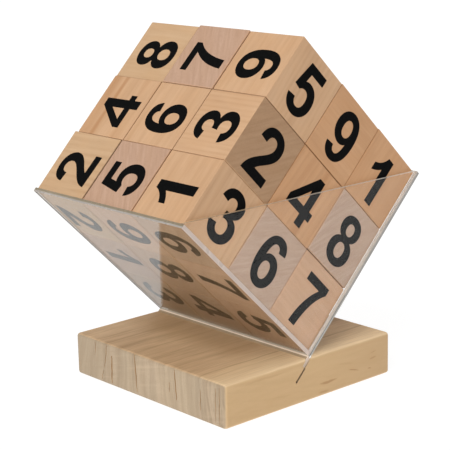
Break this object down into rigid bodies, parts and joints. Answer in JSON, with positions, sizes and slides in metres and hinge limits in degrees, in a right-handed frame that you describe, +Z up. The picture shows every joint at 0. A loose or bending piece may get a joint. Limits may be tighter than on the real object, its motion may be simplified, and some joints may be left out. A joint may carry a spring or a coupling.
{
  "type": "sudoku cube puzzle",
  "caption": "Cube of loose wooden number blocks standing on one edge in a clear V-shaped tray plugged into a slotted wooden base; the blocks lift out to be turned and rearranged.",
  "frame": {"origin": "centre of the base's underside, on the surface it stands on", "axes": "+Z up; the V-shaped trough runs along Y with its front end plate towards -Y; +X to the right seen from the front"},
  "size_m": [0.1116, 0.081, 0.1256],
  "materials": {
    "block_wood": "bare sanded hardwood with black printed numbers",
    "base_pine": "bare sanded pine",
    "clear_acrylic": "clear polished acrylic sheet"
  },
  "bodies": {
    "base": {"base_block": "base_pine"},
    "tray": {"left_plate": "clear_acrylic", "right_plate": "clear_acrylic", "front_end_plate": "clear_acrylic"},
    "block_front_bottom": {"block_front_bottom": "block_wood"},
    "block_front_lower_left": {"block_front_lower_left": "block_wood"},
    "block_front_left": {"block_front_left": "block_wood"},
    "block_front_lower_right": {"block_front_lower_right": "block_wood"},
    "block_front_centre": {"block_front_centre": "block_wood"},
    "block_front_upper_left": {"block_front_upper_left": "block_wood"},
    "block_front_right": {"block_front_right": "block_wood"},
    "block_front_upper_right": {"block_front_upper_right": "block_wood"},
    "block_front_top": {"block_front_top": "block_wood"},
    "block_middle_bottom": {"block_middle_bottom": "block_wood"},
    "block_middle_lower_left": {"block_middle_lower_left": "block_wood"},
    "block_middle_left": {"block_middle_left": "block_wood"},
    "block_middle_lower_right": {"block_middle_lower_right": "block_wood"},
    "block_middle_centre": {"block_middle_centre": "block_wood"},
    "block_middle_upper_left": {"block_middle_upper_left": "block_wood"},
    "block_middle_right": {"block_middle_right": "block_wood"},
    "block_middle_upper_right": {"block_middle_upper_right": "block_wood"},
    "block_middle_top": {"block_middle_top": "block_wood"},
    "block_rear_bottom": {"block_rear_bottom": "block_wood"},
    "block_rear_lower_left": {"block_rear_lower_left": "block_wood"},
    "block_rear_left": {"block_rear_left": "block_wood"},
    "block_rear_lower_right": {"block_rear_lower_right": "block_wood"},
    "block_rear_centre": {"block_rear_centre": "block_wood"},
    "block_rear_upper_left": {"block_rear_upper_left": "block_wood"},
    "block_rear_right": {"block_rear_right": "block_wood"},
    "block_rear_upper_right": {"block_rear_upper_right": "block_wood"},
    "block_rear_top": {"block_rear_top": "block_wood"}
  },
  "joints": [
    {"name": "tray_pull_out", "type": "slide", "parent": "base", "child": "tray", "axis": [0.7071, 0, 0.7071], "range_m": [0, 0.02]},
    {"name": "lift_front_bottom", "type": "slide", "parent": "tray", "child": "block_front_bottom", "axis": [-0.7071, 0, 0.7071], "range_m": [0, 0.08]},
    {"name": "lift_front_lower_left", "type": "slide", "parent": "block_front_bottom", "child": "block_front_lower_left", "axis": [-0.7071, 0, 0.7071], "range_m": [0, 0.055]},
    {"name": "lift_front_left", "type": "slide", "parent": "block_front_lower_left", "child": "block_front_left", "axis": [-0.7071, 0, 0.7071], "range_m": [0, 0.03]},
    {"name": "lift_front_lower_right", "type": "slide", "parent": "tray", "child": "block_front_lower_right", "axis": [-0.7071, 0, 0.7071], "range_m": [0, 0.08]},
    {"name": "lift_front_centre", "type": "slide", "parent": "block_front_lower_right", "child": "block_front_centre", "axis": [-0.7071, 0, 0.7071], "range_m": [0, 0.055]},
    {"name": "lift_front_upper_left", "type": "slide", "parent": "block_front_centre", "child": "block_front_upper_left", "axis": [-0.7071, 0, 0.7071], "range_m": [0, 0.03]},
    {"name": "lift_front_right", "type": "slide", "parent": "tray", "child": "block_front_right", "axis": [-0.7071, 0, 0.7071], "range_m": [0, 0.08]},
    {"name": "lift_front_upper_right", "type": "slide", "parent": "block_front_right", "child": "block_front_upper_right", "axis": [-0.7071, 0, 0.7071], "range_m": [0, 0.055]},
    {"name": "lift_front_top", "type": "slide", "parent": "block_front_upper_right", "child": "block_front_top", "axis": [-0.7071, 0, 0.7071], "range_m": [0, 0.03]},
    {"name": "lift_middle_bottom", "type": "slide", "parent": "tray", "child": "block_middle_bottom", "axis": [-0.7071, 0, 0.7071], "range_m": [0, 0.08]},
    {"name": "lift_middle_lower_left", "type": "slide", "parent": "block_middle_bottom", "child": "block_middle_lower_left", "axis": [-0.7071, 0, 0.7071], "range_m": [0, 0.055]},
    {"name": "lift_middle_left", "type": "slide", "parent": "block_middle_lower_left", "child": "block_middle_left", "axis": [-0.7071, 0, 0.7071], "range_m": [0, 0.03]},
    {"name": "lift_middle_lower_right", "type": "slide", "parent": "tray", "child": "block_middle_lower_right", "axis": [-0.7071, 0, 0.7071], "range_m": [0, 0.08]},
    {"name": "lift_middle_centre", "type": "slide", "parent": "block_middle_lower_right", "child": "block_middle_centre", "axis": [-0.7071, 0, 0.7071], "range_m": [0, 0.055]},
    {"name": "lift_middle_upper_left", "type": "slide", "parent": "block_middle_centre", "child": "block_middle_upper_left", "axis": [-0.7071, 0, 0.7071], "range_m": [0, 0.03]},
    {"name": "lift_middle_right", "type": "slide", "parent": "tray", "child": "block_middle_right", "axis": [-0.7071, 0, 0.7071], "range_m": [0, 0.08]},
    {"name": "lift_middle_upper_right", "type": "slide", "parent": "block_middle_right", "child": "block_middle_upper_right", "axis": [-0.7071, 0, 0.7071], "range_m": [0, 0.055]},
    {"name": "lift_middle_top", "type": "slide", "parent": "block_middle_upper_right", "child": "block_middle_top", "axis": [-0.7071, 0, 0.7071], "range_m": [0, 0.03]},
    {"name": "lift_rear_bottom", "type": "slide", "parent": "tray", "child": "block_rear_bottom", "axis": [-0.7071, 0, 0.7071], "range_m": [0, 0.08]},
    {"name": "lift_rear_lower_left", "type": "slide", "parent": "block_rear_bottom", "child": "block_rear_lower_left", "axis": [-0.7071, 0, 0.7071], "range_m": [0, 0.055]},
    {"name": "lift_rear_left", "type": "slide", "parent": "block_rear_lower_left", "child": "block_rear_left", "axis": [-0.7071, 0, 0.7071], "range_m": [0, 0.03]},
    {"name": "lift_rear_lower_right", "type": "slide", "parent": "tray", "child": "block_rear_lower_right", "axis": [-0.7071, 0, 0.7071], "range_m": [0, 0.08]},
    {"name": "lift_rear_centre", "type": "slide", "parent": "block_rear_lower_right", "child": "block_rear_centre", "axis": [-0.7071, 0, 0.7071], "range_m": [0, 0.055]},
    {"name": "lift_rear_upper_left", "type": "slide", "parent": "block_rear_centre", "child": "block_rear_upper_left", "axis": [-0.7071, 0, 0.7071], "range_m": [0, 0.03]},
    {"name": "lift_rear_right", "type": "slide", "parent": "tray", "child": "block_rear_right", "axis": [-0.7071, 0, 0.7071], "range_m": [0, 0.08]},
    {"name": "lift_rear_upper_right", "type": "slide", "parent": "block_rear_right", "child": "block_rear_upper_right", "axis": [-0.7071, 0, 0.7071], "range_m": [0, 0.055]},
    {"name": "lift_rear_top", "type": "slide", "parent": "block_rear_upper_right", "child": "block_rear_top", "axis": [-0.7071, 0, 0.7071], "range_m": [0, 0.03]}
  ]
}
